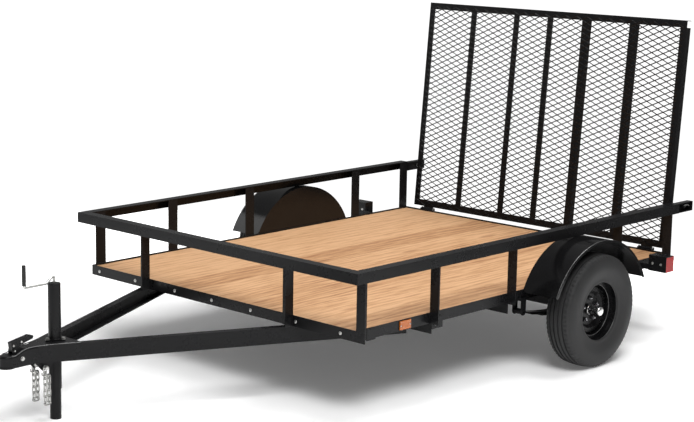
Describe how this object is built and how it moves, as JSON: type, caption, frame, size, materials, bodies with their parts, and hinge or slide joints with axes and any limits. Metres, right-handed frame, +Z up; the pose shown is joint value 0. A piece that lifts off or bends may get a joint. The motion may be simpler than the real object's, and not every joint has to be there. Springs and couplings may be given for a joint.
{
  "type": "utility trailer",
  "caption": "Single-axle utility trailer with a plank deck, black angle-iron rails, rounded fenders and an expanded-metal ramp gate, parked on its tongue jack.",
  "frame": {"origin": "bottom centre of the whole trailer's bounding box, on the ground", "axes": "+Z up, -Y towards the coupler, +Y towards the ramp gate, +X the trailer's left side"},
  "size_m": [2.299, 3.8648, 1.624],
  "materials": {
    "black_steel": "Semi-gloss black paint over welded steel angle, light orange peel",
    "pine_boards": "Planed light-brown softwood, grain lengthwise, knots",
    "tyre_rubber": "Dull black tread rubber",
    "wheel_paint": "Semi-gloss black paint on the pressed wheel",
    "zinc_plate": "Bright zinc plating, soft reflections",
    "red_lens": "Deep red moulded lens",
    "amber_lens": "Amber moulded lens",
    "black_grip": "Matt black moulded grip"
  },
  "bodies": {
    "trailer": {"frame_sides": "black_steel", "frame_ends": "black_steel", "crossmembers": "black_steel", "deck_boards": "pine_boards", "top_rail_front": "black_steel", "top_rails_side": "black_steel", "posts_front": "black_steel", "posts_side": "black_steel", "tongue_channels": "black_steel", "coupler": "black_steel", "coupler_latch_pin": "zinc_plate", "jack_tube": "black_steel", "axle": "black_steel", "springs": "black_steel", "spring_hangers": "black_steel", "spring_shackles": "black_steel", "spring_clamps": "black_steel", "fenders": "black_steel", "hinge_ears": "black_steel", "gate_latches": "black_steel", "side_markers": "amber_lens", "tail_lamp_brackets": "black_steel", "tail_lamp_lenses": "red_lens", "chain_plates": "black_steel", "chain_bolts": "zinc_plate", "safety_chains": "zinc_plate", "chain_hooks": "zinc_plate"},
    "wheel_left_body": {"tyre_left": "tyre_rubber", "wheel_left": "wheel_paint", "hub_left": "black_steel", "hub_cap_left": "zinc_plate", "lug_nuts_left": "black_steel"},
    "wheel_right_body": {"tyre_right": "tyre_rubber", "wheel_right": "wheel_paint", "hub_right": "black_steel", "hub_cap_right": "zinc_plate", "lug_nuts_right": "black_steel"},
    "gate": {"gate_rails": "black_steel", "gate_uprights": "black_steel", "gate_mesh": "black_steel", "hinge_barrels": "black_steel"},
    "jack_inner": {"jack_ram": "black_steel"},
    "jack_handle": {"jack_crank": "zinc_plate", "jack_grip": "black_grip"},
    "latch_lever": {"coupler_latch": "black_steel"}
  },
  "joints": [
    {"name": "wheel_left_spin", "type": "hinge", "parent": "trailer", "child": "wheel_left_body", "pos_m": [1.0745, 0.84463, 0.281], "axis": [1, 0, 0], "continuous": true},
    {"name": "wheel_right_spin", "type": "hinge", "parent": "trailer", "child": "wheel_right_body", "pos_m": [-1.0745, 0.84463, 0.281], "axis": [1, 0, 0], "continuous": true},
    {"name": "gate_swing", "type": "hinge", "parent": "trailer", "child": "gate", "pos_m": [0, 1.78363, 0.405], "axis": [-1, 0, 0], "range_deg": [0, 102]},
    {"name": "jack_slide", "type": "slide", "parent": "trailer", "child": "jack_inner", "axis": [0, 0, 1], "range_m": [0, 0.13]},
    {"name": "jack_crank_turn", "type": "hinge", "parent": "trailer", "child": "jack_handle", "pos_m": [0, -1.62937, 0.612], "axis": [0, 0, 1], "continuous": true},
    {"name": "coupler_latch_lift", "type": "hinge", "parent": "trailer", "child": "latch_lever", "pos_m": [0, -1.86037, 0.352], "axis": [1, 0, 0], "range_deg": [0, 70]}
  ]
}
